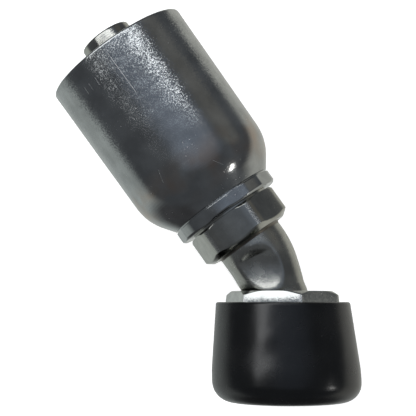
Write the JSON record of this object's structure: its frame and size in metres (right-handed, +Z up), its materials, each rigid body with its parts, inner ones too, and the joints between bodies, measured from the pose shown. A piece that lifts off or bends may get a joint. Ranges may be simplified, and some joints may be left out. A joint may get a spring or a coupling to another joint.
{
  "type": "hydraulic hose end fitting",
  "caption": "Bent crimp-on hydraulic hose end with barbed stem, crimp shell, flare swivel nut and push-on dust cap.",
  "frame": {"origin": "on the hose axis, in the plane of the crimp shell's mouth, inside the nipple's plain land", "axes": "+X along the hose axis from the shell's mouth towards the elbow, which turns towards -Y in the XY plane; +Z up with the fitting lying on its side"},
  "size_m": [0.0766, 0.0339, 0.0264],
  "materials": {
    "plated_shell": "bright zinc plate",
    "plated_stem": "bright zinc plate, machined",
    "plated_elbow": "bright zinc plate",
    "plated_head": "bright zinc plate, machined",
    "braze": "zinc over copper braze",
    "spring_wire": "drawn spring wire",
    "plated_nut": "bright zinc plate, machined",
    "cap_vinyl": "satin moulded vinyl"
  },
  "bodies": {
    "fitting_body": {"crimp_shell": "plated_shell", "stem_nipple": "plated_stem", "elbow_tube": "plated_elbow", "seat_head": "plated_head", "braze_ring_hex": "braze", "braze_ring_head": "braze"},
    "wire_ring": {"lock_wire": "spring_wire"},
    "nut": {"swivel_nut": "plated_nut"},
    "cap": {"dust_cap": "cap_vinyl"}
  },
  "joints": [
    {"name": "nut_float", "type": "slide", "parent": "fitting_body", "child": "wire_ring", "axis": [0.8171, -0.5764, 0], "range_m": [-0.00025, 0.00025]},
    {"name": "nut_spin", "type": "hinge", "parent": "wire_ring", "child": "nut", "pos_m": [0.05547, -0.00357, 0], "axis": [0.8171, -0.5764, 0], "continuous": true},
    {"name": "cap_pull", "type": "slide", "parent": "nut", "child": "cap", "axis": [0.8171, -0.5764, 0], "range_m": [0, 0.03]}
  ]
}
